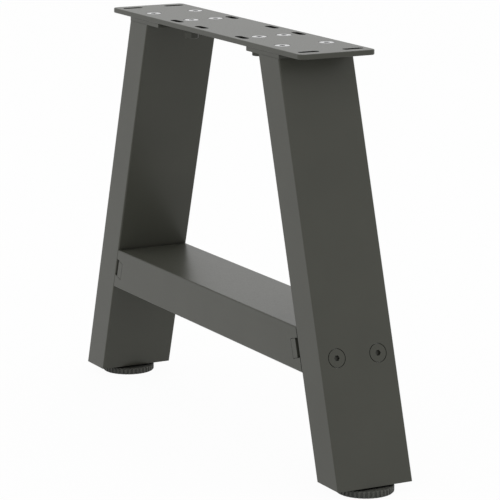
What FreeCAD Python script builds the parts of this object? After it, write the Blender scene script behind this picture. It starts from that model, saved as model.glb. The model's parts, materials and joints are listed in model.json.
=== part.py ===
import FreeCAD, Part
import math
import os

import Sketcher

# An A-frame trestle leg: two splayed rectangular tubes under a slotted mounting plate,
# tied by a stretcher tube and standing on levelling feet.
# Millimetres and degrees. X runs along the width, Y along the depth, and Z up.
# The origin is on the floor, midway between the two feet.

SIZES = {
    # The frame as a whole
    "total_height": 400,
    "foot_spread": 547,
    "top_spread": 315.9,
    # Tubes
    "leg_width": 38,
    "frame_depth": 79,
    "tube_wall": 2,
    "tube_corner": 1.5,
    "stretcher_lift": 105,
    "stretcher_height": 41.3,
    # Mounting plate and its slots
    "plate_margin": 0.5,
    "plate_thick": 5,
    "plate_overhang": 42.25,
    "plate_corner": 6,
    "edge_round": 1,
    "slot_length": 21.3,
    "slot_width": 7.5,
    "end_slot_inset": 15,
    "end_slot_side": 16.8,
    "edge_slot_inset": 9.4,
    "edge_slot_pitch": 137.8,
    "mid_slot_offset": 15.1,
    # Top flanges
    "flange_thick": 4,
    "flange_inset": 0.3,
    "flange_reach": 24.4,
    "tongue_side": 12.25,
    "tongue_end": 14.4,
    # Screws between plate and flanges, and their nuts
    "thread_size": 8,
    "thread_fit": 0.05,
    "thread_chamfer": 1,
    "hole_gap": 0.5,
    "screw_head": 16,
    "head_angle": 90,
    "head_fit": 0.15,
    "screw_length": 15,
    "outer_row_offset": 2.2,
    "screw_row_gap": 64.7,
    "outer_screw_inset": 16,
    "inner_screw_gauge": 26.7,
    "key_across": 5,
    "key_depth": 2.6,
    "nut_across": 13,
    "nut_thick": 9,
    "nut_land": 0.3,
    "nut_slope": 30,
    # Bolts, sleeves and brackets of the stretcher
    "bolt_inset": 17.75,
    "bolt_head": 16.8,
    "head_hole_gap": 0.7,
    "sleeve_land": 1,
    "bracket_thick": 4.4,
    "bracket_fit": 0.3,
    "bolt_edge": 5.3,
    "tab_height": 18,
    "tab_length": 12.8,
    "tab_gap": 0.4,
    "tab_rise": 2.2,
    "tab_depth": 13,
    "tab_root": 4,
    # Levelling feet
    "foot_plate_thick": 4,
    "plug_fit": 0.1,
    "foot_thread": 10,
    "foot_nut_across": 17,
    "foot_nut_thick": 8,
    "stud_length": 34,
    "stud_seat": 2.5,
    "pad_diameter": 54.5,
    "pad_thick": 6.5,
    "pad_edge": 0.8,
    "pad_land": 4.7,
    "pad_dish_depth": 0.8,
    "boss_diameter": 24,
    "boss_height": 1.7,
    "boss_gap": 0.3,
    "rib_groove": 1.1,
    "rib_count": 40,
}

doc = FreeCAD.newDocument("TrestleLeg")
sheet = doc.addObject("Spreadsheet::Sheet", "Sizes")
for line, (alias, size) in enumerate(SIZES.items(), 1):
    sheet.set(f"A{line}", alias)
    sheet.set(f"B{line}", str(size))
    sheet.setAlias(f"B{line}", alias)
doc.recompute()

# Lengths and angles that follow from the sheet
PAD_TOP = "(Sizes.pad_thick + Sizes.boss_height)"
LEG_LIFT = f"({PAD_TOP} + Sizes.boss_gap)"
FLANGE_TOP = "(Sizes.total_height - Sizes.plate_thick)"
FLANGE_UNDERSIDE = f"({FLANGE_TOP} - Sizes.flange_thick)"
LEG_RISE = f"({FLANGE_UNDERSIDE} - {LEG_LIFT})"
LEAN = f"atan((Sizes.foot_spread - Sizes.top_spread) / 2 / {LEG_RISE})"
LEG_LEVEL_WIDTH = f"(Sizes.leg_width / cos({LEAN}))"
LEG_FOOT_X = f"(Sizes.foot_spread / 2 - {LEG_LEVEL_WIDTH} / 2)"
LEG_TOP_X = f"(Sizes.top_spread / 2 - {LEG_LEVEL_WIDTH} / 2)"
LEG_LENGTH = f"({LEG_RISE} / cos({LEAN}))"
TRIM_ALLOWANCE = "Sizes.leg_width"
PLATE_LENGTH = "(Sizes.top_spread + 2 * Sizes.plate_overhang)"
PLATE_DEPTH = "(Sizes.frame_depth + 2 * Sizes.plate_margin)"
STRETCHER_MIDDLE = "(Sizes.stretcher_lift + Sizes.stretcher_height / 2)"
BOLT_HOLE = "(Sizes.thread_size + 2 * Sizes.hole_gap)"
TAPPED_HOLE = "(Sizes.thread_size + 2 * Sizes.thread_fit)"
HEAD_HOLE = "(Sizes.bolt_head + 2 * Sizes.head_hole_gap)"
BOLT_GAUGE = "(Sizes.frame_depth - 2 * Sizes.bolt_inset)"
STRETCHER_ROOM = "(Sizes.stretcher_height / 2 - Sizes.tube_wall - Sizes.bracket_fit)"
BRACKET_REACH = f"(({STRETCHER_ROOM} - Sizes.bracket_thick * sin({LEAN})) / cos({LEAN}))"
BOLT_DROP = f"({BRACKET_REACH} - Sizes.bolt_edge)"
BRACKET_STATION = (f"(({STRETCHER_MIDDLE} - {LEG_LIFT}) / cos({LEAN})"
                   f" + Sizes.leg_width / 2 * tan({LEAN}))")
BOLT_STATION = f"({BRACKET_STATION} - {BOLT_DROP})"
SLEEVE_LENGTH = "(Sizes.leg_width - 2 * Sizes.tube_wall)"
FOOT_PLATE_TOP = f"({LEG_LIFT} + Sizes.foot_plate_thick)"

# The two rows of plate screws on a leg: how far inwards of the leg's upper end, and the gauge
SCREW_ROWS = {
    "outer": ("Sizes.outer_row_offset", "(Sizes.frame_depth - 2 * Sizes.outer_screw_inset)"),
    "inner": ("(Sizes.outer_row_offset + Sizes.screw_row_gap)", "Sizes.inner_screw_gauge"),
}
# The sign of X and the yaw of each side: the right side is the left one turned half round the Z axis.
SIDES = {"left": ("-", "0"), "right": ("", "180")}
BOTH_WAYS = ("-", "")
FULL_TURN = 360
UP = FreeCAD.Vector(0, 0, 1)
TOLERANCE = 1e-4
nodes = {}


def value(expression):
    """The number that an expression of the sheet's cells gives."""
    result = sheet.evalExpression(expression)
    return float(getattr(result, "Value", result))


def leg_inner_x(height):
    """Distance from the middle plane to the inner face of a leg at a height."""
    return f"(Sizes.foot_spread / 2 - {LEG_LEVEL_WIDTH} - ({height} - {LEG_LIFT}) * tan({LEAN}))"


def place(piece, x="0", y="0", z="0", pitch="0", yaw="0"):
    """Binds a piece's placement: its origin, a turn about Y, then one about Z."""
    piece.setExpression("Placement", f"placement(vector({x}; {y}; {z}); rotation({yaw}; {pitch}; 0))")


def keep(label, piece):
    """Registers a finished piece under its own name."""
    piece.Label = label
    nodes[label] = piece


def new_body(name):
    """An empty body for one piece of stock."""
    return doc.addObject("PartDesign::Body", name)


def new_sketch(body, name, role):
    """A sketch on one of the body's own origin planes."""
    sketch = body.newObject("Sketcher::SketchObject", f"{body.Name}_{name}")
    plane = next(item for item in body.Origin.OriginFeatures if item.Role == role)
    sketch.AttachmentSupport = [(plane, "")]
    sketch.MapMode = "FlatFace"
    return sketch


def pin(sketch, geometry, point, x, y):
    """Ties one point of a sketch to two expressions."""
    for kind, expression in (("DistanceX", x), ("DistanceY", y)):
        constraint = Sketcher.Constraint(kind, -1, 1, geometry, point, value(expression))
        index = sketch.addConstraint(constraint)
        sketch.setExpression(f"Constraints[{index}]", expression)


def add_polygon(sketch, corners):
    """A closed outline through corners that are given as pairs of expressions."""
    spots = [FreeCAD.Vector(value(x), value(y), 0) for x, y in corners]
    count = len(spots)
    first = sketch.GeometryCount
    for index, spot in enumerate(spots):
        sketch.addGeometry(Part.LineSegment(spot, spots[(index + 1) % count]), False)
    for index, (x, y) in enumerate(corners):
        following = first + (index + 1) % count
        sketch.addConstraint(Sketcher.Constraint("Coincident", first + index, 2, following, 1))
        pin(sketch, first + index, 1, x, y)


def add_rectangle(sketch, wide, tall):
    """A rectangle about the sketch's origin."""
    x, y = f"({wide}) / 2", f"({tall}) / 2"
    add_polygon(sketch, [(f"-{x}", f"-{y}"), (x, f"-{y}"), (x, y), (f"-{x}", y)])


def add_hexagon(sketch, across):
    """A hexagon about the sketch's origin, with two flats along Y."""
    corner, half = f"({across}) / sqrt(3)", f"({across}) / 2"
    add_polygon(sketch, [
        ("0", corner), (f"-{half}", f"{corner} / 2"), (f"-{half}", f"-{corner} / 2"),
        ("0", f"-{corner}"), (half, f"-{corner} / 2"), (half, f"{corner} / 2"),
    ])


def add_circle(sketch, diameter, x="0", y="0"):
    """A circle with its centre at a pair of expressions."""
    centre = FreeCAD.Vector(value(x), value(y), 0)
    index = sketch.addGeometry(Part.Circle(centre, UP, value(diameter) / 2), False)
    pin(sketch, index, 3, x, y)
    size = sketch.addConstraint(Sketcher.Constraint("Diameter", index, value(diameter)))
    sketch.setExpression(f"Constraints[{size}]", diameter)


def add_slot(sketch, x, y, along_x):
    """A round-ended slot of the plate's slot size, along X or along Y."""
    reach = "(Sizes.slot_length - Sizes.slot_width) / 2"
    radius = value("Sizes.slot_width") / 2
    if along_x:
        ends = [(f"{x} + {reach}", y), (f"{x} - {reach}", y)]
        begin = -math.pi / 2
    else:
        ends = [(x, f"{y} + {reach}"), (x, f"{y} - {reach}")]
        begin = 0.0
    arcs = []
    for end_x, end_y in ends:
        circle = Part.Circle(FreeCAD.Vector(value(end_x), value(end_y), 0), UP, radius)
        arcs.append(sketch.addGeometry(Part.ArcOfCircle(circle, begin, begin + math.pi), False))
        begin += math.pi
    for arc, other in (arcs, arcs[::-1]):
        side = Part.LineSegment(sketch.getPoint(arc, 2), sketch.getPoint(other, 1))
        line = sketch.addGeometry(side, False)
        sketch.addConstraint(Sketcher.Constraint("Tangent", arc, 2, line, 1))
        sketch.addConstraint(Sketcher.Constraint("Tangent", line, 2, other, 1))
    for arc, (end_x, end_y) in zip(arcs, ends):
        pin(sketch, arc, 3, end_x, end_y)
        size = sketch.addConstraint(Sketcher.Constraint("Radius", arc, radius))
        sketch.setExpression(f"Constraints[{size}]", "Sizes.slot_width / 2")


def pad(body, sketch, length, side_type="One side", downwards=False):
    """Extrudes a sketch by a length."""
    feature = body.newObject("PartDesign::Pad", f"{sketch.Name}_pad")
    feature.Profile = sketch
    feature.setExpression("Length", length)
    feature.SideType = side_type
    feature.Reversed = downwards
    doc.recompute()


def must_have_cut(body, before, what):
    """Stops if a cut has taken nothing away from the body's volume before it."""
    if not body.Shape.Volume < before - TOLERANCE:
        raise RuntimeError(f"{what} cuts nothing")


def pocket(body, sketch, length, along_normal=False):
    """Cuts a sketch into the body, against the sketch's normal unless told otherwise."""
    before = body.Shape.Volume
    feature = body.newObject("PartDesign::Pocket", f"{sketch.Name}_pocket")
    feature.Profile = sketch
    feature.setExpression("Length", length)
    feature.Reversed = along_normal
    doc.recompute()
    must_have_cut(body, before, feature.Name)
    return feature


def turn(body, sketch, kind="Revolution"):
    """Turns a sketch fully round its own vertical axis, to add to the body or to groove it."""
    feature = body.newObject(f"PartDesign::{kind}", f"{sketch.Name}_turn")
    feature.Profile = sketch
    feature.ReferenceAxis = (sketch, ["V_Axis"])
    doc.recompute()


def round_edges(body, name, radius, chosen):
    """Rounds the edges of the body's last feature that a test picks out."""
    base = body.Tip
    edges = [f"Edge{number}" for number, edge in enumerate(base.Shape.Edges, 1) if chosen(edge)]
    feature = body.newObject("PartDesign::Fillet", f"{body.Name}_{name}")
    feature.Base = (base, edges)
    feature.setExpression("Radius", radius)
    doc.recompute()


def is_upright(edge):
    """Whether an edge is straight and runs along the body's Z axis."""
    if not isinstance(edge.Curve, Part.Line):
        return False
    return abs(abs(edge.Curve.Direction.dot(UP)) - 1) < TOLERANCE


def lies_at(edge, height):
    """Whether an edge lies whole at one height of its body."""
    ends = (edge.BoundBox.ZMin, edge.BoundBox.ZMax)
    return all(abs(end - height) < TOLERANCE for end in ends)


def tube_stock(name, wide, tall, length):
    """A length of rectangular tube along Z, centred, with its outer corners rounded."""
    body = new_body(name)
    section = new_sketch(body, "section", "XY_Plane")
    add_rectangle(section, wide, tall)
    add_rectangle(section, f"{wide} - 2 * Sizes.tube_wall", f"{tall} - 2 * Sizes.tube_wall")
    pad(body, section, length, "Symmetric")
    outer_x = value(wide) / 2

    def is_outer(edge):
        return is_upright(edge) and abs(abs(edge.CenterOfMass.x) - outer_x) < TOLERANCE

    round_edges(body, "corners", "Sizes.tube_corner", is_outer)
    return body


def slab(name, low, high):
    """A level block, wider than the object, between two heights: what a level cut leaves."""
    block = doc.addObject("Part::Box", name)
    block.setExpression("Length", "2 * Sizes.foot_spread")
    block.setExpression("Width", "2 * Sizes.frame_depth")
    block.setExpression("Height", f"{high} - {low}")
    place(block, "-Sizes.foot_spread", "-Sizes.frame_depth", low)
    return block


def combine(kind, name, base, tool):
    """A boolean of two objects."""
    result = doc.addObject(f"Part::{kind}", name)
    result.Base = base
    result.Tool = tool
    return result


def keep_pair(label, piece):
    """Keeps a piece with its mirror image across the middle of the depth, as one group."""
    twin = doc.addObject("Part::Mirroring", f"{label}_twin")
    twin.Source = piece
    twin.Normal = FreeCAD.Vector(0, 1, 0)
    group = doc.addObject("Part::Compound", f"{label}_pair")
    group.Links = [piece, twin]
    keep(label, group)


def place_on_leg_face(piece, sign, yaw, inwards="0", y="0", upwards="0"):
    """Puts a piece at the leg's inner face, level with the stretcher's middle, on the lean.

    inwards is square to the face, into the stretcher, and upwards runs along the leg.
    """
    x_shift = f"({inwards}) * cos({LEAN}) + ({upwards}) * sin({LEAN})"
    x = f"{sign}({leg_inner_x(STRETCHER_MIDDLE)} - ({x_shift}))"
    z = f"{STRETCHER_MIDDLE} - ({inwards}) * sin({LEAN}) + ({upwards}) * cos({LEAN})"
    place(piece, x, y, z, LEAN, yaw)


def place_on_bolt_axis(piece, sign, yaw, across):
    """Lays a piece along the front stretcher bolt: its top faces out of the leg.

    across is measured from the leg's own axis, square to its faces, towards the stretcher.
    """
    x = f"{sign}({LEG_FOOT_X} - ({across}) * cos({LEAN}) - {BOLT_STATION} * sin({LEAN}))"
    z = f"{LEG_LIFT} - ({across}) * sin({LEAN}) + {BOLT_STATION} * cos({LEAN})"
    place(piece, x, f"-{BOLT_GAUGE} / 2", z, f"{LEAN} - 90 deg", yaw)


def make_mounting_plate():
    """The flat bar that the table top is screwed to: slots for the top, countersinks for the legs."""
    body = new_body("plate")
    outline = new_sketch(body, "outline", "XY_Plane")
    add_rectangle(outline, PLATE_LENGTH, PLATE_DEPTH)
    pad(body, outline, "Sizes.plate_thick", downwards=True)
    round_edges(body, "corners", "Sizes.plate_corner", is_upright)
    faces = (0.0, -value("Sizes.plate_thick"))
    round_edges(body, "rim", "Sizes.edge_round", lambda edge: any(lies_at(edge, z) for z in faces))

    slots = new_sketch(body, "slots", "XY_Plane")
    end_x = f"({PLATE_LENGTH} / 2 - Sizes.end_slot_inset)"
    end_y = f"({PLATE_DEPTH} / 2 - Sizes.end_slot_side)"
    edge_y = f"({PLATE_DEPTH} / 2 - Sizes.edge_slot_inset)"
    for x_sign in BOTH_WAYS:
        for y_sign in BOTH_WAYS:
            add_slot(slots, f"{x_sign}{end_x}", f"{y_sign}{end_y}", along_x=False)
            add_slot(slots, f"{x_sign}Sizes.edge_slot_pitch / 2", f"{y_sign}{edge_y}", along_x=True)
        add_slot(slots, f"{x_sign}Sizes.mid_slot_offset", f"{x_sign}{edge_y}", along_x=True)
    pocket(body, slots, "2 * Sizes.plate_thick")

    holes = new_sketch(body, "holes", "XY_Plane")
    for offset, gauge in SCREW_ROWS.values():
        for x_sign in BOTH_WAYS:
            for y_sign in BOTH_WAYS:
                x = f"{x_sign}({LEG_TOP_X} - {offset})"
                add_circle(holes, BOLT_HOLE, x, f"{y_sign}{gauge} / 2")
    doc.recompute()
    before = body.Shape.Volume
    countersinks = body.newObject("PartDesign::Hole", "plate_countersinks")
    countersinks.Profile = holes
    doc.recompute()
    countersinks.ThreadType = "None"
    countersinks.DepthType = "ThroughAll"
    countersinks.setExpression("Diameter", BOLT_HOLE)
    countersinks.HoleCutType = "Countersink"
    countersinks.HoleCutCustomValues = True
    countersinks.setExpression("HoleCutDiameter", "Sizes.screw_head + 2 * Sizes.head_fit")
    countersinks.setExpression("HoleCutCountersinkAngle", "Sizes.head_angle * 1 deg")
    doc.recompute()
    must_have_cut(body, before, countersinks.Name)
    place(body, z="Sizes.total_height")
    keep("mounting_plate", body)


def make_leg_tube(side, sign, yaw):
    """A leg: tube stock on the lean, drilled for the stretcher bolts and cut level at both ends."""
    name = f"{side}_leg"
    length = f"2 * ({LEG_LENGTH} + {TRIM_ALLOWANCE})"
    body = tube_stock(f"{name}_stock", "Sizes.leg_width", "Sizes.frame_depth", length)
    for drill, diameter, inwards in (("head", HEAD_HOLE, False), ("shank", BOLT_HOLE, True)):
        holes = new_sketch(body, f"{drill}_holes", "YZ_Plane")
        for y_sign in BOTH_WAYS:
            add_circle(holes, diameter, f"{y_sign}{BOLT_GAUGE} / 2", BOLT_STATION)
        pocket(body, holes, "Sizes.leg_width", along_normal=inwards)
    place(body, f"{sign}{LEG_FOOT_X}", "0", LEG_LIFT, LEAN, yaw)
    level_cut = slab(f"{name}_level_cut", LEG_LIFT, FLANGE_UNDERSIDE)
    keep(f"{side}_leg_tube", combine("Common", f"{name}_cut", body, level_cut))


def make_top_flange(side, sign, yaw):
    """The plate on a leg's upper end: full depth over the leg, then a tongue for the inner screws."""
    body = new_body(f"{side}_flange")
    outline = new_sketch(body, "outline", "XY_Plane")
    outer = f"-({LEG_LEVEL_WIDTH} / 2 - Sizes.flange_inset)"
    step = f"({LEG_LEVEL_WIDTH} / 2 + Sizes.flange_reach)"
    last_row, _ = SCREW_ROWS["inner"]
    end = f"({last_row} + Sizes.tongue_end)"
    wide = "(Sizes.frame_depth / 2 - Sizes.flange_inset)"
    narrow = "(Sizes.inner_screw_gauge / 2 + Sizes.tongue_side)"
    add_polygon(outline, [
        (outer, f"-{wide}"), (step, f"-{wide}"), (step, f"-{narrow}"), (end, f"-{narrow}"),
        (end, narrow), (step, narrow), (step, wide), (outer, wide),
    ])
    pad(body, outline, "Sizes.flange_thick", downwards=True)
    holes = new_sketch(body, "holes", "XY_Plane")
    for offset, gauge in SCREW_ROWS.values():
        for y_sign in BOTH_WAYS:
            add_circle(holes, BOLT_HOLE, offset, f"{y_sign}{gauge} / 2")
    pocket(body, holes, "2 * Sizes.flange_thick")
    place(body, f"{sign}{LEG_TOP_X}", "0", FLANGE_TOP, yaw=yaw)
    keep(f"{side}_top_flange", body)


def cut_key_socket(body):
    """The hex socket in a screw's head, sunk from the body's origin."""
    socket = new_sketch(body, "socket", "XY_Plane")
    add_hexagon(socket, "Sizes.key_across")
    pocket(body, socket, "Sizes.key_depth")


def make_plate_screws(side, row, sign):
    """A pair of countersunk screws with a hex socket and a plain shank for the thread."""
    offset, gauge = SCREW_ROWS[row]
    body = new_body(f"{side}_{row}_screw")
    profile = new_sketch(body, "profile", "XZ_Plane")
    head, shank = "Sizes.screw_head / 2", "Sizes.thread_size / 2"
    add_polygon(profile, [
        ("0", "0"), (head, "0"), (shank, f"-({head} - {shank}) / tan(Sizes.head_angle / 2)"),
        (shank, "-(Sizes.screw_length - Sizes.thread_chamfer)"),
        (f"{shank} - Sizes.thread_chamfer", "-Sizes.screw_length"), ("0", "-Sizes.screw_length"),
    ])
    turn(body, profile)
    cut_key_socket(body)
    place(body, f"{sign}({LEG_TOP_X} - {offset})", f"-{gauge} / 2", "Sizes.total_height")
    keep_pair(f"{side}_{row}_plate_screws", body)


def hex_nut(name, across, thick, thread, downwards):
    """A hex nut with its corners chamfered at both ends."""
    body = new_body(name)
    section = new_sketch(body, "section", "XY_Plane")
    add_hexagon(section, across)
    add_circle(section, f"{thread} + 2 * Sizes.thread_fit")
    pad(body, section, thick, downwards=downwards)
    before = body.Shape.Volume
    rim = f"({across} / 2 - Sizes.nut_land)"
    corner = f"({across} / sqrt(3) + Sizes.nut_land)"
    drop = f"(({corner} - {rim}) * tan(Sizes.nut_slope))"
    trims = new_sketch(body, "trims", "XZ_Plane")
    top, bottom = ("0", f"-{thick}") if downwards else (thick, "0")
    add_polygon(trims, [(rim, top), (corner, top), (corner, f"{top} - {drop}")])
    add_polygon(trims, [(rim, bottom), (corner, bottom), (corner, f"{bottom} + {drop}")])
    turn(body, trims, "Groove")
    must_have_cut(body, before, trims.Name)
    return body


def make_flange_nuts(side, row, sign):
    """A pair of nuts welded under a flange."""
    offset, gauge = SCREW_ROWS[row]
    sizes = ("Sizes.nut_across", "Sizes.nut_thick", "Sizes.thread_size")
    body = hex_nut(f"{side}_{row}_nut", *sizes, downwards=True)
    place(body, f"{sign}({LEG_TOP_X} - {offset})", f"-{gauge} / 2", FLANGE_UNDERSIDE)
    keep_pair(f"{side}_{row}_flange_nuts", body)


def make_stretcher_tube():
    """The stretcher: tube stock across the legs, its ends cut to their lean and notched for the lugs."""
    low = "Sizes.stretcher_lift"
    high = f"({low} + Sizes.stretcher_height)"
    length = f"2 * {leg_inner_x(low)}"
    body = tube_stock("stretcher_stock", "Sizes.stretcher_height", "Sizes.frame_depth", length)
    place(body, z=STRETCHER_MIDDLE, pitch="90")
    between = new_body("between_legs")
    outline = new_sketch(between, "outline", "XZ_Plane")
    add_polygon(outline, [
        (f"-{leg_inner_x(low)}", low), (leg_inner_x(low), low),
        (leg_inner_x(high), high), (f"-{leg_inner_x(high)}", high),
    ])
    pad(between, outline, "2 * Sizes.frame_depth", "Symmetric")
    tube = combine("Common", "stretcher_cut", body, between)
    for side, (sign, yaw) in SIDES.items():
        notch = doc.addObject("Part::Box", f"{side}_notch")
        notch.setExpression("Length", "2 * (Sizes.tab_length + Sizes.tab_gap)")
        notch.setExpression("Width", "2 * Sizes.frame_depth")
        notch.setExpression("Height", "Sizes.tab_height + 2 * Sizes.tab_gap")
        corner = ("-(Sizes.tab_length + Sizes.tab_gap)", f"{sign}Sizes.frame_depth",
                  "Sizes.tab_rise - (Sizes.tab_height / 2 + Sizes.tab_gap)")
        place_on_leg_face(notch, sign, yaw, *corner)
        tube = combine("Cut", f"stretcher_{side}_notched", tube, notch)
    keep("stretcher_tube", tube)


def add_band(sketch, first, last, tall):
    """A rectangle from one station to another, about the height of the tabs."""
    low, high = f"Sizes.tab_rise - ({tall}) / 2", f"Sizes.tab_rise + ({tall}) / 2"
    add_polygon(sketch, [(first, low), (last, low), (last, high), (first, high)])


def make_bracket(side, sign, yaw):
    """The bracket in a stretcher end: a tapped web against the leg, and a lug in each window."""
    body = new_body(f"{side}_bracket")
    thick = "Sizes.bracket_thick"
    web = new_sketch(body, "web", "YZ_Plane")
    web_depth = "Sizes.frame_depth - 2 * (Sizes.tube_wall + Sizes.bracket_fit)"
    add_rectangle(web, web_depth, f"2 * {BRACKET_REACH}")
    pad(body, web, thick)
    face = "Sizes.frame_depth / 2"
    lugs = new_sketch(body, "lugs", "YZ_Plane")
    gaps = new_sketch(body, "gaps", "YZ_Plane")
    for y_sign in BOTH_WAYS:
        root = f"{y_sign}({face} - Sizes.tab_depth)"
        gap_floor = f"{y_sign}({face} - Sizes.tab_depth + Sizes.tab_root)"
        add_band(lugs, root, f"{y_sign}{face}", "Sizes.tab_height")
        add_band(gaps, gap_floor, f"{y_sign}Sizes.frame_depth", "Sizes.tab_height + 2 * Sizes.tab_gap")
    pad(body, lugs, "Sizes.tab_length")
    pocket(body, gaps, thick, along_normal=True)
    holes = new_sketch(body, "holes", "YZ_Plane")
    for y_sign in BOTH_WAYS:
        add_circle(holes, TAPPED_HOLE, f"{y_sign}{BOLT_GAUGE} / 2", f"-{BOLT_DROP}")
    pocket(body, holes, f"2 * {thick}", along_normal=True)
    place_on_leg_face(body, sign, yaw)
    keep(f"{side}_stretcher_bracket", body)


def make_stretcher_bolts(side, sign, yaw):
    """A pair of flat-headed bolts through a leg, heads flush with its outer face, into the bracket."""
    body = new_body(f"{side}_bolt")
    profile = new_sketch(body, "profile", "XZ_Plane")
    head, shank = "Sizes.bolt_head / 2", "Sizes.thread_size / 2"
    length = "(Sizes.leg_width + Sizes.bracket_thick)"
    add_polygon(profile, [
        ("0", "0"), (head, "0"), (head, "-Sizes.tube_wall"), (shank, "-Sizes.tube_wall"),
        (shank, f"-({length} - Sizes.thread_chamfer)"),
        (f"{shank} - Sizes.thread_chamfer", f"-{length}"), ("0", f"-{length}"),
    ])
    turn(body, profile)
    cut_key_socket(body)
    place_on_bolt_axis(body, sign, yaw, "-Sizes.leg_width / 2")
    keep_pair(f"{side}_stretcher_bolts", body)


def make_bolt_sleeves(side, sign, yaw):
    """A pair of spacers that fill the leg tube from wall to wall round the stretcher bolts."""
    body = new_body(f"{side}_sleeve")
    ring = new_sketch(body, "ring", "XY_Plane")
    add_circle(ring, f"{HEAD_HOLE} + 2 * Sizes.sleeve_land")
    add_circle(ring, BOLT_HOLE)
    pad(body, ring, SLEEVE_LENGTH, downwards=True)
    place_on_bolt_axis(body, sign, yaw, f"-{SLEEVE_LENGTH} / 2")
    keep_pair(f"{side}_bolt_sleeves", body)


def make_foot_plate(side, sign, yaw):
    """The plug in a leg's lower end, drilled upright for the levelling stud."""
    name = f"{side}_foot_plate"
    body = new_body(f"{name}_stock")
    section = new_sketch(body, "section", "XY_Plane")
    inset = "2 * (Sizes.tube_wall + Sizes.plug_fit)"
    add_rectangle(section, f"Sizes.leg_width - {inset}", f"Sizes.frame_depth - {inset}")
    pad(body, section, f"2 * ({TRIM_ALLOWANCE} + Sizes.foot_plate_thick)", "Symmetric")
    place(body, f"{sign}{LEG_FOOT_X}", "0", LEG_LIFT, LEAN, yaw)
    plug = combine("Common", f"{name}_cut", body, slab(f"{name}_level_cut", LEG_LIFT, FOOT_PLATE_TOP))
    drill = doc.addObject("Part::Cylinder", f"{name}_drill")
    drill.setExpression("Radius", "Sizes.foot_thread / 2 + Sizes.hole_gap")
    drill.setExpression("Height", f"2 * {FOOT_PLATE_TOP}")
    place(drill, f"{sign}{LEG_FOOT_X}")
    keep(name, combine("Cut", f"{name}_drilled", plug, drill))


def make_foot_nut(side, sign):
    """The nut welded on a foot plate, inside the leg."""
    sizes = ("Sizes.foot_nut_across", "Sizes.foot_nut_thick", "Sizes.foot_thread")
    body = hex_nut(f"{side}_stud_nut", *sizes, downwards=False)
    place(body, f"{sign}{LEG_FOOT_X}", "0", FOOT_PLATE_TOP)
    keep(f"{side}_foot_nut", body)


def make_foot_stud(side, sign):
    """The stem of a levelling foot, with a plain shank for the thread."""
    body = new_body(f"{side}_stud")
    profile = new_sketch(body, "profile", "XZ_Plane")
    radius, tip = "Sizes.foot_thread / 2", "(Sizes.foot_thread / 2 - Sizes.thread_chamfer)"
    add_polygon(profile, [
        ("0", "0"), (radius, "0"), (radius, "Sizes.stud_length - Sizes.thread_chamfer"),
        (tip, "Sizes.stud_length"), ("0", "Sizes.stud_length"),
    ])
    turn(body, profile)
    place(body, f"{sign}{LEG_FOOT_X}", "0", "Sizes.stud_seat")
    keep(f"{side}_foot_stud", body)


def make_foot_pad(side, sign):
    """The round pad of a levelling foot: dished below, a boss above, finger grooves on its rim."""
    body = new_body(f"{side}_pad")
    profile = new_sketch(body, "profile", "XZ_Plane")
    rim, edge, thick = "Sizes.pad_diameter / 2", "Sizes.pad_edge", "Sizes.pad_thick"
    boss, bore = "Sizes.boss_diameter / 2", "(Sizes.foot_thread / 2 + Sizes.thread_fit)"
    land, dish, seat = f"({rim} - Sizes.pad_land)", "Sizes.pad_dish_depth", "Sizes.stud_seat"
    add_polygon(profile, [
        ("0", dish), (f"{land} - {dish}", dish), (land, "0"), (f"{rim} - {edge}", "0"),
        (rim, edge), (rim, f"{thick} - {edge}"), (f"{rim} - {edge}", thick),
        (boss, thick), (boss, PAD_TOP), (bore, PAD_TOP), (bore, seat), ("0", seat),
    ])
    turn(body, profile)
    groove = new_sketch(body, "groove", "XY_Plane")
    add_circle(groove, "2 * Sizes.rib_groove", rim)
    one_groove = pocket(body, groove, f"2 * {thick}", along_normal=True)
    before = body.Shape.Volume
    ring = body.newObject("PartDesign::PolarPattern", f"{side}_pad_ring")
    ring.Originals = [one_groove]
    ring.Axis = (groove, ["N_Axis"])
    ring.Angle = FULL_TURN
    ring.setExpression("Occurrences", "Sizes.rib_count")
    body.Tip = ring
    doc.recompute()
    must_have_cut(body, before, ring.Name)
    place(body, f"{sign}{LEG_FOOT_X}")
    keep(f"{side}_foot_pad", body)


def check_and_write():
    """Stops at any failed object, then writes each piece to its own file."""
    doc.recompute()
    for item in doc.Objects:
        if {"Invalid", "Error"} & set(item.State):
            raise RuntimeError(f"{item.Label} failed: {item.State}")
    for label, piece in nodes.items():
        if piece.Shape.isNull() or not piece.Shape.isValid() or not piece.Shape.Solids:
            raise RuntimeError(f"{label} has no sound solid")
    os.makedirs("parts", exist_ok=True)
    for label, piece in nodes.items():
        piece.Shape.exportStep(f"parts/{label}.step")
        print(f"{label}: {len(piece.Shape.Solids)} solid(s), {piece.Shape.Volume:.1f} mm3")


make_mounting_plate()
make_stretcher_tube()
for side, (sign, yaw) in SIDES.items():
    make_leg_tube(side, sign, yaw)
    make_top_flange(side, sign, yaw)
    for row in SCREW_ROWS:
        make_plate_screws(side, row, sign)
        make_flange_nuts(side, row, sign)
    make_bracket(side, sign, yaw)
    make_stretcher_bolts(side, sign, yaw)
    make_bolt_sleeves(side, sign, yaw)
    make_foot_plate(side, sign, yaw)
    make_foot_nut(side, sign)
    make_foot_stud(side, sign)
    make_foot_pad(side, sign)
check_and_write()
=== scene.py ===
"""Looks of the trestle table leg: finishes, threaded hardware, studio and camera around the CAD frame."""
import json
import logging
import math
from dataclasses import dataclass, field
from enum import Enum

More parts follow.
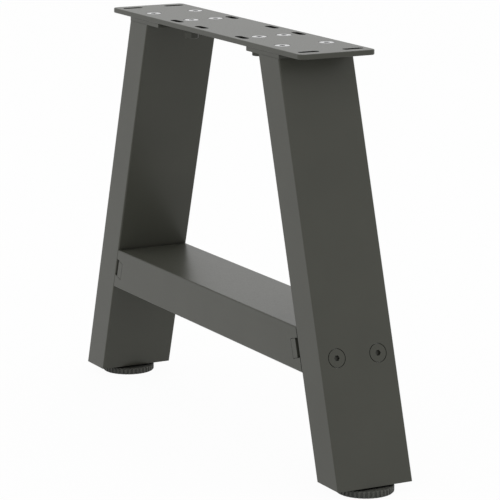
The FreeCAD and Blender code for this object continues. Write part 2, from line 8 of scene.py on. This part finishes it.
import bmesh
import bpy
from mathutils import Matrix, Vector

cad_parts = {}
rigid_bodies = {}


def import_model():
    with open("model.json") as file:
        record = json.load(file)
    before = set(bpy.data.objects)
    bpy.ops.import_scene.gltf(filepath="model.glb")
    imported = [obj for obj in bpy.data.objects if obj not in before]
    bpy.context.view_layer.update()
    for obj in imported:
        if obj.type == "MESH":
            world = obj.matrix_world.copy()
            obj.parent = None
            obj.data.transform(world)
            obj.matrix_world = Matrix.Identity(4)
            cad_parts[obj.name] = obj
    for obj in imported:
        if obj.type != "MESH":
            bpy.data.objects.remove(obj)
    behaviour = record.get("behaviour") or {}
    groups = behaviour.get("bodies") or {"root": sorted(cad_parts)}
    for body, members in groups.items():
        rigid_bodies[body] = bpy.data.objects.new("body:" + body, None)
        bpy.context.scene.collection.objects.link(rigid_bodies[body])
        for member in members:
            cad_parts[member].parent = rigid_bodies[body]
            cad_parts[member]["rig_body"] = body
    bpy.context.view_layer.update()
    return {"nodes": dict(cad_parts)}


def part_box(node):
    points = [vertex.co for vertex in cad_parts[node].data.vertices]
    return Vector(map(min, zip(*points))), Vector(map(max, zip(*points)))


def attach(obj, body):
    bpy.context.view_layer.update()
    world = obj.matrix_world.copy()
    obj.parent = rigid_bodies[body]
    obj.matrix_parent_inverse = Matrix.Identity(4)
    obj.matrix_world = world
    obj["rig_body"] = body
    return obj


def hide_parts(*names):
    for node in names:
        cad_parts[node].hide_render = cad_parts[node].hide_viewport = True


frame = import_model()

log = logging.getLogger("trestle_leg")
IMAGE_WIDTH_PX = 500
SENSOR_WIDTH_MM = 36.0
FULL_TURN = 2.0 * math.pi
MERGE_DISTANCE = 1e-6
SHARP_ANGLE = math.radians(35.0)
THREAD_DEPTH_PER_PITCH = 0.6134
HEX_CORNERS = 6

# Nearly all of a noise lies between these two values.
NOISE_LOW = 0.3
NOISE_HIGH = 0.7
CLOUD_DETAIL = 3.0
GRAIN_DETAIL = 2.0
# Samples of the ambient-occlusion node that paints shade into crevices.
CREVICE_SAMPLES = 8

Colour = tuple[float, float, float]
Triple = tuple[float, float, float]
Span = tuple[float, float]


class Slot(Enum):
    """Material slots of the record."""

    POWDER_COAT = "powder_coat"
    ZINC_STEEL = "zinc_steel"
    PLAIN_STEEL = "plain_steel"
    FOOT_PLASTIC = "foot_plastic"


class Side(Enum):
    """The two sides of the trestle, as the node names begin."""

    LEFT = "left"
    RIGHT = "right"


class ScrewRow(Enum):
    """The two rows of plate screws on a side, as the node names go on."""

    OUTER = "outer"
    INNER = "inner"


@dataclass(frozen=True)
class PaintedShadeBox:
    """A box-shaped zone of the part where the colour is darkened with painted shade, as little light gets
    in.

    Attributes:
        middle: Centre of the box in metres.
        half: Half the box's size along each axis.
        tone: Share of the colour left in the zone.
    """

    middle: Triple
    half: Triple
    tone: float


class NodeBoard:
    """The node tree of one material or world, with short calls that add and join nodes."""

    def __init__(self, tree: bpy.types.NodeTree) -> None:
        """Empties a tree and keeps it.

        Args:
            tree: The node tree to fill.
        """
        self.tree = tree
        tree.nodes.clear()

    def add(self, kind: str, **settings: object) -> bpy.types.Node:
        """Adds a node.

        Args:
            kind: The node's type name.
            settings: Attributes to set on the node.

        Returns:
            The new node.
        """
        node = self.tree.nodes.new(kind)
        for name, value in settings.items():
            setattr(node, name, value)
        return node

    def join(self, source: bpy.types.NodeSocket, target: bpy.types.NodeSocket) -> None:
        """Links two sockets.

        Args:
            source: The output socket.
            target: The input socket.
        """
        self.tree.links.new(source, target)

    def noise(self, scale: float, detail: float, stretch: Triple = (1.0, 1.0, 1.0)) -> bpy.types.NodeSocket:
        """Adds a noise pattern on Object coordinates.

        Args:
            scale: Cells of the noise per metre.
            detail: Number of finer octaves.
            stretch: Scale of the coordinates along each axis.

        Returns:
            The noise value, around 0.5.
        """
        place = self.add("ShaderNodeTexCoord")
        mapping = self.add("ShaderNodeMapping")
        mapping.inputs["Scale"].default_value = stretch
        pattern = self.add("ShaderNodeTexNoise")
        pattern.inputs["Scale"].default_value = scale
        pattern.inputs["Detail"].default_value = detail
        self.join(place.outputs["Object"], mapping.inputs["Vector"])
        self.join(mapping.outputs["Vector"], pattern.inputs["Vector"])
        return pattern.outputs["Fac"]

    def spread(self, value: bpy.types.NodeSocket, low: float, high: float) -> bpy.types.NodeSocket:
        """Spreads the middle of a noise over a range.

        Args:
            value: The noise value.
            low: Result at the noise's low side.
            high: Result at the noise's high side.

        Returns:
            The spread value.
        """
        node = self.add("ShaderNodeMapRange")
        node.inputs["From Min"].default_value = NOISE_LOW
        node.inputs["From Max"].default_value = NOISE_HIGH
        node.inputs["To Min"].default_value = low
        node.inputs["To Max"].default_value = high
        self.join(value, node.inputs["Value"])
        return node.outputs["Result"]

    def tint(self, value: bpy.types.NodeSocket, deep: Colour, pale: Colour) -> bpy.types.NodeSocket:
        """Runs a noise between two colours.

        Args:
            value: The noise value.
            deep: Colour at the noise's low side.
            pale: Colour at the noise's high side.

        Returns:
            The colour.
        """
        ramp = self.add("ShaderNodeValToRGB")
        first, last = ramp.color_ramp.elements
        first.position, first.color = NOISE_LOW, (*deep, 1.0)
        last.position, last.color = NOISE_HIGH, (*pale, 1.0)
        self.join(value, ramp.inputs["Fac"])
        return ramp.outputs["Color"]

    def paint_crevice_shade(self, colour: bpy.types.NodeSocket, reach: float, power: float) -> bpy.types.NodeSocket:
        """Paints shade into a colour: an ambient-occlusion node darkens it in slots, sockets and tight
        corners.

        Args:
            colour: The colour in the open.
            reach: Distance in metres within which other surfaces darken it.
            power: Steepness of the darkening.

        Returns:
            The colour with painted shade.
        """
        openness = self.add("ShaderNodeAmbientOcclusion", samples=CREVICE_SAMPLES)
        openness.inputs["Distance"].default_value = reach
        level = self.add("ShaderNodeMath", operation="POWER")
        level.inputs[1].default_value = power
        shaded = self.add("ShaderNodeVectorMath", operation="SCALE")
        self.join(openness.outputs["AO"], level.inputs[0])
        self.join(colour, shaded.inputs["Vector"])
        self.join(level.outputs["Value"], shaded.inputs["Scale"])
        return shaded.outputs["Vector"]

    def paint_zone_shade(self, colour: bpy.types.NodeSocket, zone: PaintedShadeBox) -> bpy.types.NodeSocket:
        """Paints shade into a colour: darkens it in a zone of the part.

        Args:
            colour: The colour outside the zone.
            zone: The zone and its tone.

        Returns:
            The colour, with painted shade in the zone.
        """
        place = self.add("ShaderNodeTexCoord").outputs["Object"]
        steps = (("SUBTRACT", zone.middle), ("ABSOLUTE", None), ("SUBTRACT", zone.half))
        for operation, amount in steps:
            step = self.add("ShaderNodeVectorMath", operation=operation)
            self.join(place, step.inputs[0])
            if amount is not None:
                step.inputs[1].default_value = amount
            place = step.outputs["Vector"]
        axes = self.add("ShaderNodeSeparateXYZ")
        self.join(place, axes.inputs["Vector"])
        beyond = self.largest([axes.outputs[axis] for axis in ("X", "Y", "Z")])
        inside = self.add("ShaderNodeMath", operation="LESS_THAN")
        inside.inputs[1].default_value = 0.0
        self.join(beyond, inside.inputs[0])
        share = self.add("ShaderNodeMapRange")
        share.inputs["To Min"].default_value = 1.0
        share.inputs["To Max"].default_value = zone.tone
        self.join(inside.outputs["Value"], share.inputs["Value"])
        dimmed = self.add("ShaderNodeVectorMath", operation="SCALE")
        self.join(colour, dimmed.inputs["Vector"])
        self.join(share.outputs["Result"], dimmed.inputs["Scale"])
        return dimmed.outputs["Vector"]

    def largest(self, values: list[bpy.types.NodeSocket]) -> bpy.types.NodeSocket:
        """Picks the largest of several values.

        Args:
            values: The values to compare.

        Returns:
            The largest value.
        """
        top = values[0]
        for other in values[1:]:
            larger = self.add("ShaderNodeMath", operation="MAXIMUM")
            self.join(top, larger.inputs[0])
            self.join(other, larger.inputs[1])
            top = larger.outputs["Value"]
        return top

    def shown(self) -> bpy.types.NodeSocket:
        """Tells rays that show a surface from rays that gather its light.

        Returns:
            1 for the camera's rays and for rays through gloss or glass, and 0 for the others.
        """
        rays = self.add("ShaderNodeLightPath")
        names = ("Is Camera Ray", "Is Glossy Ray", "Is Transmission Ray")
        return self.largest([rays.outputs[name] for name in names])

    def bump(self, height: bpy.types.NodeSocket, depth: float, strength: float) -> bpy.types.NodeSocket:
        """Turns a height pattern into a bumped normal.

        Args:
            height: The height pattern.
            depth: Height of the bumps in metres.
            strength: Share of the bump that shows.

        Returns:
            The normal.
        """
        node = self.add("ShaderNodeBump")
        node.inputs["Distance"].default_value = depth
        node.inputs["Strength"].default_value = strength
        self.join(height, node.inputs["Height"])
        return node.outputs["Normal"]


@dataclass(frozen=True)
class Finish:
    """A finish whose tone, gloss and relief come from two noises, with painted shade darkening its colour in
    crevices.

    Attributes:
        slot: The record's slot that the finish belongs to.
        deep: Darker colour of the tone's clouds.
        pale: Paler colour of the tone's clouds.
        gloss: Lowest and highest roughness.
        cloud_scale: Clouds of tone per metre.
        grain_scale: Cells of the relief per metre.
        grain_depth: Height of the relief in metres.
        grain_strength: Share of the relief that shows.
        grain_stretch: Scale of the relief along each axis.
        metallic: Whether the surface is bare metal.
        specular: Specular level of the surface.
        crevice_shade_reach: Distance in metres within which nearby surfaces darken the colour with painted
            shade.
        crevice_shade_power: Steepness of that painted shade.
        painted_shade_box: A box where painted shade darkens the colour, where the finish has one.
    """

    slot: Slot
    deep: Colour
    pale: Colour
    gloss: Span
    cloud_scale: float
    grain_scale: float
    grain_depth: float
    grain_strength: float
    grain_stretch: Triple = (1.0, 1.0, 1.0)
    metallic: float = 0.0
    specular: float = 0.5
    crevice_shade_reach: float = 0.005
    crevice_shade_power: float = 0.5
    painted_shade_box: PaintedShadeBox | None = None

    def material(self) -> bpy.types.Material:
        """Makes the node material.

        Returns:
            A material named after the slot.
        """
        made = bpy.data.materials.new(self.slot.value)
        made.use_nodes = True
        made.diffuse_color = (*self.pale, 1.0)
        board = NodeBoard(made.node_tree)
        shader = board.add("ShaderNodeBsdfPrincipled")
        output = board.add("ShaderNodeOutputMaterial")
        clouds = board.noise(self.cloud_scale, CLOUD_DETAIL)
        grain = board.noise(self.grain_scale, GRAIN_DETAIL, self.grain_stretch)
        tone = board.tint(clouds, self.deep, self.pale)
        # Painted shade: the colour is darkened inside the finish's box.
        if self.painted_shade_box is not None:
            tone = board.paint_zone_shade(tone, self.painted_shade_box)
        # Painted shade: an ambient-occlusion node darkens the colour in crevices and tight corners.
        tone = board.paint_crevice_shade(tone, self.crevice_shade_reach, self.crevice_shade_power)
        board.join(tone, shader.inputs["Base Color"])
        board.join(board.spread(grain, *self.gloss), shader.inputs["Roughness"])
        board.join(board.bump(grain, self.grain_depth, self.grain_strength), shader.inputs["Normal"])
        shader.inputs["Metallic"].default_value = self.metallic
        shader.inputs["Specular IOR Level"].default_value = self.specular
        board.join(shader.outputs["BSDF"], output.inputs["Surface"])
        return made


POWDER_COAT = Finish(
    slot=Slot.POWDER_COAT, deep=(0.051, 0.052, 0.042), pale=(0.056, 0.057, 0.046), gloss=(0.315, 0.365),
    cloud_scale=16.0, grain_scale=700.0, grain_depth=0.00005, grain_strength=0.05, specular=0.26,
    # Painted shade on the walls of the plate's slots, so that they look dark.
    painted_shade_box=PaintedShadeBox(middle=(0.0, 0.0, 0.39762), half=(0.192, 0.036, 0.00233), tone=0.12))
ZINC_STEEL = Finish(
    slot=Slot.ZINC_STEEL, deep=(0.45, 0.455, 0.46), pale=(0.52, 0.525, 0.53), gloss=(0.12, 0.20),
    cloud_scale=260.0, grain_scale=1500.0, grain_depth=0.00001, grain_strength=0.1, metallic=1.0,
    # Painted shade on the screw shanks below the plate's top.
    painted_shade_box=PaintedShadeBox(middle=(0.0, 0.0, 0.38), half=(0.2, 0.04, 0.01999), tone=0.08),
    crevice_shade_power=1.0)
PLAIN_STEEL = Finish(
    slot=Slot.PLAIN_STEEL, deep=(0.36, 0.35, 0.34), pale=(0.46, 0.46, 0.45), gloss=(0.34, 0.50),
    cloud_scale=120.0, grain_scale=900.0, grain_depth=0.00003, grain_strength=0.3,
    grain_stretch=(1.0, 1.0, 0.2), metallic=1.0)
FOOT_PLASTIC = Finish(
    slot=Slot.FOOT_PLASTIC, deep=(0.054, 0.055, 0.047), pale=(0.062, 0.063, 0.054), gloss=(0.50, 0.62),
    cloud_scale=90.0, grain_scale=2200.0, grain_depth=0.00004, grain_strength=0.35, specular=0.4)


class Wardrobe:
    """One material for each slot, and the calls that dress pieces with them."""

    def __init__(self, finishes: tuple[Finish, ...]) -> None:
        """Makes every finish's material.

        Args:
            finishes: The finishes to make.
        """
        self.materials = {finish.slot: finish.material() for finish in finishes}

    def dress(self, piece: bpy.types.Object, slot: Slot) -> None:
        """Gives a piece or a CAD node the material of a slot.

        Args:
            piece: The object to dress.
            slot: The slot whose material it takes.
        """
        if not piece.material_slots:
            piece.data.materials.append(self.materials[slot])
        for place in piece.material_slots:
            place.material = self.materials[slot]


def settle_piece(shape: bmesh.types.BMesh, name: str,
                 nodes: tuple[str, ...]) -> bpy.types.Object:
    """Turns a bmesh into a piece that stands for CAD nodes and rides on their body.

    Args:
        shape: The finished bmesh, with its place in its vertices; it is freed.
        name: Name of the piece.
        nodes: CAD nodes that the piece replaces, all on one body.

    Returns:
        The new object.
    """
    mesh = bpy.data.meshes.new(name)
    shape.to_mesh(mesh)
    shape.free()
    mesh.shade_smooth()
    mesh.set_sharp_from_angle(angle=SHARP_ANGLE)
    piece = bpy.data.objects.new(name, mesh)
    bpy.context.scene.collection.objects.link(piece)
    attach(piece, frame["nodes"][nodes[0]]["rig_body"])
    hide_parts(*nodes)
    log.info("%s: %d faces, stands for %s", name, len(mesh.polygons), ", ".join(nodes))
    return piece


@dataclass(frozen=True)
class Thread:
    """A metric screw thread.

    Attributes:
        diameter: Outer diameter in metres.
        pitch: Rise of one turn in metres.
        steps: Faces in one turn.
    """

    diameter: float
    pitch: float
    steps: int = 36

    @property
    def depth(self) -> float:
        """Depth of the groove, from crest to root."""
        return THREAD_DEPTH_PER_PITCH * self.pitch

    def add_rod(self, shape: bmesh.types.BMesh, low: float, high: float) -> None:
        """Adds a closed threaded rod on the Z axis, with a chamfer at both ends.

        Args:
            shape: The bmesh to add to, empty so far.
            low: Height of the lower end.
            high: Height of the upper end.
        """
        crest = self.diameter / 2.0
        root = crest - self.depth
        root_flat = self.pitch / 4.0
        crest_flat = self.pitch / 8.0
        flank = (self.pitch - root_flat - crest_flat) / 2.0
        outline = ((root, 0.0), (root, root_flat), (crest, root_flat + flank),
                   (crest, root_flat + flank + crest_flat), (root, self.pitch))
        turns = math.ceil((high - low) / self.pitch) + 2
        start = low - self.pitch
        corners = [shape.verts.new((radius, 0.0, start + rise)) for radius, rise in outline]
        sides = [shape.edges.new(pair) for pair in zip(corners, corners[1:])]
        bmesh.ops.spin(shape, geom=corners + sides, cent=(0.0, 0.0, 0.0), axis=(0.0, 0.0, 1.0),
                       dvec=(0.0, 0.0, self.pitch / self.steps), angle=FULL_TURN * turns,
                       steps=self.steps * turns, use_merge=False)
        bmesh.ops.remove_doubles(shape, verts=shape.verts, dist=MERGE_DISTANCE)
        for height, way in ((low + self.depth, -1.0), (high - self.depth, 1.0)):
            bmesh.ops.bisect_plane(shape, geom=shape.verts[:] + shape.edges[:] + shape.faces[:],
                                   plane_co=(0.0, 0.0, height), plane_no=(0.0, 0.0, way), clear_outer=True)
        for end, way in ((low, -1.0), (high, 1.0)):
            self._close_end(shape, end, way)
        bmesh.ops.recalc_face_normals(shape, faces=shape.faces)

    def _close_end(self, shape: bmesh.types.BMesh, end: float, way: float) -> None:
        """Draws one open end in to a chamfer and fills it.

        Args:
            shape: The bmesh of the rod.
            end: Height of the finished end.
            way: 1 for the upper end, -1 for the lower end.
        """
        near = 2.0 * self.depth
        rim = [edge for edge in shape.edges
               if edge.is_boundary and way * (end - edge.verts[0].co.z) < near]
        drawn = bmesh.ops.extrude_edge_only(shape, edges=rim)["geom"]
        tips = [item for item in drawn if isinstance(item, bmesh.types.BMVert)]
        shrink = 1.0 - 2.0 * self.depth / self.diameter
        bmesh.ops.scale(shape, verts=tips, vec=(shrink, shrink, 1.0))
        bmesh.ops.translate(shape, verts=tips, vec=(0.0, 0.0, way * self.depth))
        edge_ring = [item for item in drawn if isinstance(item, bmesh.types.BMEdge) and item.is_boundary]
        bmesh.ops.holes_fill(shape, edges=edge_ring, sides=0)


@dataclass
class PlateScrews:
    """Two countersunk hex-socket screws of one row, through the mounting plate and a top flange.

    Attributes:
        side: Side of the trestle.
        row: Row of screws on that side.
        socket_across: Width of the hex socket across its flats.
        socket_depth: Depth of the socket's walls.
        socket_tip: Further depth of the drilled point below the walls.
        tip_share: Width of the point's blunt end, as a share of the socket's.
        crown_inset: Width of the slope around the head's flat crown.
        rim_drop: Depth of that slope at the rim.
        edge_break: Bevel on the crown's edge and the socket's mouth.
        facets: Sides of the round head.
        thread: Thread of the shank.
    """

    side: Side
    row: ScrewRow
    socket_across: float = 0.005
    socket_depth: float = 0.0026
    socket_tip: float = 0.0008
    tip_share: float = 0.02
    crown_inset: float = 0.001
    rim_drop: float = 0.00025
    edge_break: float = 0.0001
    facets: int = 48
    thread: Thread = field(default_factory=lambda: Thread(diameter=0.008, pitch=0.00125))

    @property
    def node(self) -> str:
        """Name of the CAD node that holds both screws."""
        return f"{self.side.value}_{self.row.value}_plate_screws"

    def build(self) -> bpy.types.Object:
        """Models one screw, copies it to the second hole and puts both in place.

        Returns:
            The piece that stands for the CAD node.
        """
        low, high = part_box(self.node)
        head_radius = (high.x - low.x) / 2.0
        gauge = high.y - low.y - 2.0 * head_radius
        shape = bmesh.new()
        self.thread.add_rod(shape, low.z - high.z, -(head_radius - self.thread.diameter / 2.0))
        self._add_head(shape, head_radius)
        bmesh.ops.translate(shape, verts=shape.verts, vec=(low.x + head_radius, low.y + head_radius, high.z))
        copied = bmesh.ops.duplicate(shape, geom=shape.verts[:] + shape.edges[:] + shape.faces[:])["geom"]
        second = [item for item in copied if isinstance(item, bmesh.types.BMVert)]
        bmesh.ops.translate(shape, verts=second, vec=(0.0, gauge, 0.0))
        return settle_piece(shape, f"{self.node}_threaded", (self.node,))

    def _add_head(self, shape: bmesh.types.BMesh, radius: float) -> None:
        """Adds the countersunk head with its socket, its top at height 0.

        Args:
            shape: The bmesh of one screw.
            radius: Outer radius of the head.
        """
        crown_radius = radius - self.crown_inset
        rim_radius = radius - self.rim_drop
        shank_radius = self.thread.diameter / 2.0
        crown = bmesh.ops.create_circle(shape, radius=crown_radius, segments=self.facets)["verts"]
        crown_edges = list(dict.fromkeys(edge for vert in crown for edge in vert.link_edges))
        mouth_radius = self.socket_across / math.sqrt(3.0)
        mouth = bmesh.ops.create_circle(shape, radius=mouth_radius, segments=HEX_CORNERS)["verts"]
        sides = list(dict.fromkeys(edge for vert in mouth for edge in vert.link_edges))
        cuts = self.facets // HEX_CORNERS - 1
        cut = bmesh.ops.subdivide_edges(shape, edges=sides, cuts=cuts)["geom_split"]
        mouth_edges = [item for item in cut if isinstance(item, bmesh.types.BMEdge)]
        bmesh.ops.bridge_loops(shape, edges=crown_edges + mouth_edges)
        walls = self._draw(shape, mouth_edges, 1.0, -self.socket_depth)
        tip = self._draw(shape, walls, self.tip_share, -self.socket_tip)
        bmesh.ops.holes_fill(shape, edges=tip, sides=0)
        rim = self._draw(shape, crown_edges, rim_radius / crown_radius, -self.rim_drop)
        shank = self._draw(shape, rim, shank_radius / rim_radius, shank_radius - rim_radius)
        bmesh.ops.holes_fill(shape, edges=shank, sides=0)
        bmesh.ops.bevel(shape, geom=crown_edges + mouth_edges, offset=self.edge_break, offset_type="OFFSET",
                        affect="EDGES", segments=2, profile=0.5, material=-1)
        bmesh.ops.recalc_face_normals(shape, faces=shape.faces)

    @staticmethod
    def _draw(shape: bmesh.types.BMesh, edges: list[bmesh.types.BMEdge], scale: float,
              rise: float) -> list[bmesh.types.BMEdge]:
        """Extrudes a ring of edges, scales it about the Z axis and moves it up or down.

        Args:
            shape: The bmesh that holds the ring.
            edges: The ring to extrude.
            scale: Scale of the new ring.
            rise: Way up of the new ring, or down where it is below 0.

        Returns:
            The edges of the new ring.
        """
        drawn = bmesh.ops.extrude_edge_only(shape, edges=edges)["geom"]
        verts = [item for item in drawn if isinstance(item, bmesh.types.BMVert)]
        bmesh.ops.scale(shape, verts=verts, vec=(scale, scale, 1.0))
        bmesh.ops.translate(shape, verts=verts, vec=(0.0, 0.0, rise))
        moved = set(verts)
        return [item for item in drawn if isinstance(item, bmesh.types.BMEdge) and set(item.verts) <= moved]


@dataclass
class LevellingFoot:
    """The levelling foot of one leg: a threaded stud, its welded nut and a ribbed pad.

    Attributes:
        side: Side of the trestle.
        pitch: Rise of the stud's thread in one turn.
    """

    side: Side
    pitch: float = 0.0015

    def build(self) -> bpy.types.Object:
        """Models the threaded stud in place.

        Returns:
            The piece that stands for the plain CAD stud.
        """
        node = f"{self.side.value}_foot_stud"
        low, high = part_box(node)
        thread = Thread(diameter=high.x - low.x, pitch=self.pitch)
        middle = (low + high) / 2.0
        shape = bmesh.new()
        thread.add_rod(shape, low.z, high.z)
        bmesh.ops.translate(shape, verts=shape.verts, vec=(middle.x, middle.y, 0.0))
        return settle_piece(shape, f"{node}_threaded", (node,))

    def dress(self, wardrobe: Wardrobe) -> None:
        """Dresses the pad and the nut, which keep their CAD shape.

        Args:
            wardrobe: The materials to use.
        """
        wardrobe.dress(frame["nodes"][f"{self.side.value}_foot_pad"], Slot.FOOT_PLASTIC)
        wardrobe.dress(frame["nodes"][f"{self.side.value}_foot_nut"], Slot.PLAIN_STEEL)


@dataclass
class SteelFrame:
    """The coated steel: plate, legs, flanges, stretcher and the hardware coated with them.

    Attributes:
        middle: Nodes that belong to no side.
        coated: Coated nodes of each side, without the side's name.
        bare: Nodes of each side left in plain steel inside the legs.
    """

    middle: tuple[str, ...] = ("mounting_plate", "stretcher_tube")
    coated: tuple[str, ...] = ("leg_tube", "top_flange", "stretcher_bracket", "stretcher_bolts",
                               "foot_plate", "inner_flange_nuts", "outer_flange_nuts")
    bare: tuple[str, ...] = ("bolt_sleeves",)

    def dress(self, wardrobe: Wardrobe) -> None:
        """Dresses every node of the frame.

        Args:
            wardrobe: The materials to use.
        """
        sided = {Slot.POWDER_COAT: self.coated, Slot.PLAIN_STEEL: self.bare}
        for name in self.middle:
            wardrobe.dress(frame["nodes"][name], Slot.POWDER_COAT)
        for slot, pieces in sided.items():
            for side in Side:
                for piece in pieces:
                    wardrobe.dress(frame["nodes"][f"{side.value}_{piece}"], slot)
        count = len(self.middle) + len(Side) * len(self.coated + self.bare)
        log.info("steel frame dressed: %d nodes", count)


@dataclass
class SoftBox:
    """A square studio lamp that faces a target.

    Attributes:
        name: Name of the lamp.
        azimuth: Compass direction it shines from, in degrees from -Y towards +X.
        elevation: Height it shines from, in degrees.
        distance: Distance from the target in metres.
        width: Side of the lamp in metres.
        level: Light on a surface that faces the lamp; 1 renders a colour as it is written.
        target: The point that it faces.
    """

    name: str
    azimuth: float
    elevation: float
    distance: float
    width: float
    level: float
    target: Vector = field(default_factory=lambda: Vector((0.0, 0.0, 0.2)))

    def build(self) -> bpy.types.Object:
        """Hangs the lamp.

        Returns:
            The lamp's object.
        """
        turn, rise = math.radians(self.azimuth), math.radians(self.elevation)
        way = Vector((math.sin(turn) * math.cos(rise), -math.cos(turn) * math.cos(rise), math.sin(rise)))
        lamp = bpy.data.lights.new(self.name, "AREA")
        lamp.shape = "SQUARE"
        lamp.size = self.width
        lamp.energy = self.level * math.pi ** 2 * self.distance ** 2
        holder = bpy.data.objects.new(self.name, lamp)
        holder.location = self.target + way * self.distance
        holder.rotation_euler = way.to_track_quat("Z", "Y").to_euler()
        bpy.context.scene.collection.objects.link(holder)
        return holder


@dataclass
class Studio:
    """Pale floor, white surroundings and weak soft lamps.

    Attributes:
        floor_size: Side of the floor in metres.
        floor_colour: Colour of the floor as the object sees it.
        floor_glow: Share of plain white in the floor as the camera and reflections see it.
        sky_level: Light of the surroundings on the object.
        lamps: The soft lamps.
    """

    floor_size: float = 60.0
    floor_colour: Colour = (0.72, 0.72, 0.72)
    floor_glow: float = 0.96
    sky_level: float = 1.0
    lamps: tuple[SoftBox, ...] = (
        SoftBox(name="key_lamp", azimuth=-127.0, elevation=63.0, distance=2.6, width=1.2, level=0.08),
        SoftBox(name="front_lamp", azimuth=-12.0, elevation=20.0, distance=3.0, width=2.0, level=0.06),
    )

    def build(self) -> None:
        """Lays the floor, hangs the lamps and sets the surroundings and the view transform."""
        bpy.context.scene.view_settings.view_transform = "Standard"
        self._lay_floor()
        self._set_surroundings()
        for lamp in self.lamps:
            lamp.build()
        log.info("studio ready: %d lamps", len(self.lamps))

    def _lay_floor(self) -> None:
        """Makes the floor, seen from above only, so that the feet show from below."""
        shape = bmesh.new()
        bmesh.ops.create_grid(shape, x_segments=1, y_segments=1, size=self.floor_size / 2.0)
        mesh = bpy.data.meshes.new("floor")
        shape.to_mesh(mesh)
        shape.free()
        floor = bpy.data.objects.new("floor", mesh)
        bpy.context.scene.collection.objects.link(floor)
        paint = bpy.data.materials.new("pale_floor")
        paint.use_nodes = True
        board = NodeBoard(paint.node_tree)
        matt = board.add("ShaderNodeBsdfDiffuse")
        matt.inputs["Color"].default_value = (*self.floor_colour, 1.0)
        white = board.add("ShaderNodeEmission")
        share = board.add("ShaderNodeMath", operation="MULTIPLY")
        share.inputs[1].default_value = self.floor_glow
        upper = board.add("ShaderNodeMixShader")
        below = board.add("ShaderNodeBsdfTransparent")
        facing = board.add("ShaderNodeNewGeometry")
        whole = board.add("ShaderNodeMixShader")
        output = board.add("ShaderNodeOutputMaterial")
        board.join(board.shown(), share.inputs[0])
        board.join(share.outputs["Value"], upper.inputs["Fac"])
        board.join(matt.outputs["BSDF"], upper.inputs[1])
        board.join(white.outputs["Emission"], upper.inputs[2])
        board.join(facing.outputs["Backfacing"], whole.inputs["Fac"])
        board.join(upper.outputs["Shader"], whole.inputs[1])
        board.join(below.outputs["BSDF"], whole.inputs[2])
        board.join(whole.outputs["Shader"], output.inputs["Surface"])
        mesh.materials.append(paint)

    def _set_surroundings(self) -> None:
        """Makes the world white to the camera and in reflections, and sets its light on the object."""
        world = bpy.data.worlds.new("studio")
        world.use_nodes = True
        bpy.context.scene.world = world
        board = NodeBoard(world.node_tree)
        strength = board.add("ShaderNodeMapRange")
        strength.inputs["To Min"].default_value = self.sky_level
        strength.inputs["To Max"].default_value = 1.0
        sky = board.add("ShaderNodeBackground")
        output = board.add("ShaderNodeOutputWorld")
        board.join(board.shown(), strength.inputs["Value"])
        sky.inputs["Color"].default_value = (1.0, 1.0, 1.0, 1.0)
        board.join(strength.outputs["Result"], sky.inputs["Strength"])
        board.join(sky.outputs["Background"], output.inputs["Surface"])


@dataclass
class PhotoCamera:
    """The camera at the photograph's place.

    Attributes:
        location: Place in metres.
        azimuth: Heading in degrees, from +Y towards -X.
        pitch: Downward tilt in degrees.
        focal_px: Focal length in pixels of the 500 pixel image.
    """

    location: Triple = (2.3403, -1.2230, 0.7408)
    azimuth: float = 62.131
    pitch: float = 12.018
    focal_px: float = 2731.7

    def build(self) -> bpy.types.Object:
        """Places the camera and makes it the scene's.

        Returns:
            The camera's object.
        """
        lens = bpy.data.cameras.new("photo_camera")
        lens.sensor_width = SENSOR_WIDTH_MM
        lens.lens = self.focal_px * SENSOR_WIDTH_MM / IMAGE_WIDTH_PX
        holder = bpy.data.objects.new("photo_camera", lens)
        holder.location = self.location
        holder.rotation_euler = (math.radians(90.0 - self.pitch), 0.0, math.radians(self.azimuth))
        bpy.context.scene.collection.objects.link(holder)
        bpy.context.scene.camera = holder
        log.info("camera placed: lens %.1f mm", lens.lens)
        return holder


def main() -> None:
    """Builds and dresses the whole scene."""
    logging.basicConfig(level=logging.INFO, format="%(message)s")
    wardrobe = Wardrobe((POWDER_COAT, ZINC_STEEL, PLAIN_STEEL, FOOT_PLASTIC))
    SteelFrame().dress(wardrobe)
    for side in Side:
        for row in ScrewRow:
            wardrobe.dress(PlateScrews(side, row).build(), Slot.ZINC_STEEL)
        foot = LevellingFoot(side)
        wardrobe.dress(foot.build(), Slot.ZINC_STEEL)
        foot.dress(wardrobe)
    Studio().build()
    PhotoCamera().build()


if __name__ == "__main__":
    main()
